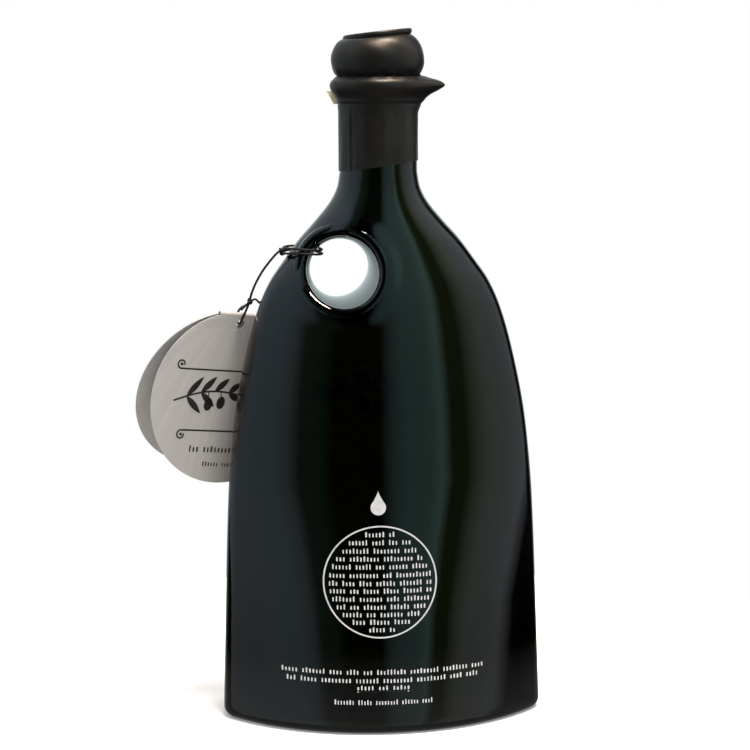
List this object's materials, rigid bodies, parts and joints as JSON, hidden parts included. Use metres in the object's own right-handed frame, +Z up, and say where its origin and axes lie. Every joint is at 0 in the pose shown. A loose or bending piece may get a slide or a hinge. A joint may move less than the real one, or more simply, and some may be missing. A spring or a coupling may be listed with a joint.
{
  "type": "olive oil bottle",
  "caption": "Flat lens-section dark glass oil bottle with a finger hole through its shoulder, a sealed pouring lip with ball stopper, and a folded round card tag on a thread.",
  "frame": {"origin": "centre of the bottle's base, on the surface it stands on", "axes": "+Z up along the neck, +X across the broad face towards the pouring beak, +Y from the shown front face to the back"},
  "size_m": [0.1384, 0.0646, 0.2342],
  "materials": {
    "glass": "dark antique green, polished",
    "oil": "clear golden green liquid",
    "stopper": "matte",
    "capsule": "matte heat-shrunk film",
    "tab": "matte pale gold film",
    "card": "brushed silver-grey with black print",
    "thread": "black elastic cord"
  },
  "bodies": {
    "root": {"bottle_glass": "glass", "oil": "oil", "stopper": "stopper", "capsule": "capsule", "tear_tab": "tab", "tag": "card", "thread": "thread", "thread_wrap": "thread", "thread_eye": "thread", "thread_knot": "thread"}
  },
  "joints": []
}
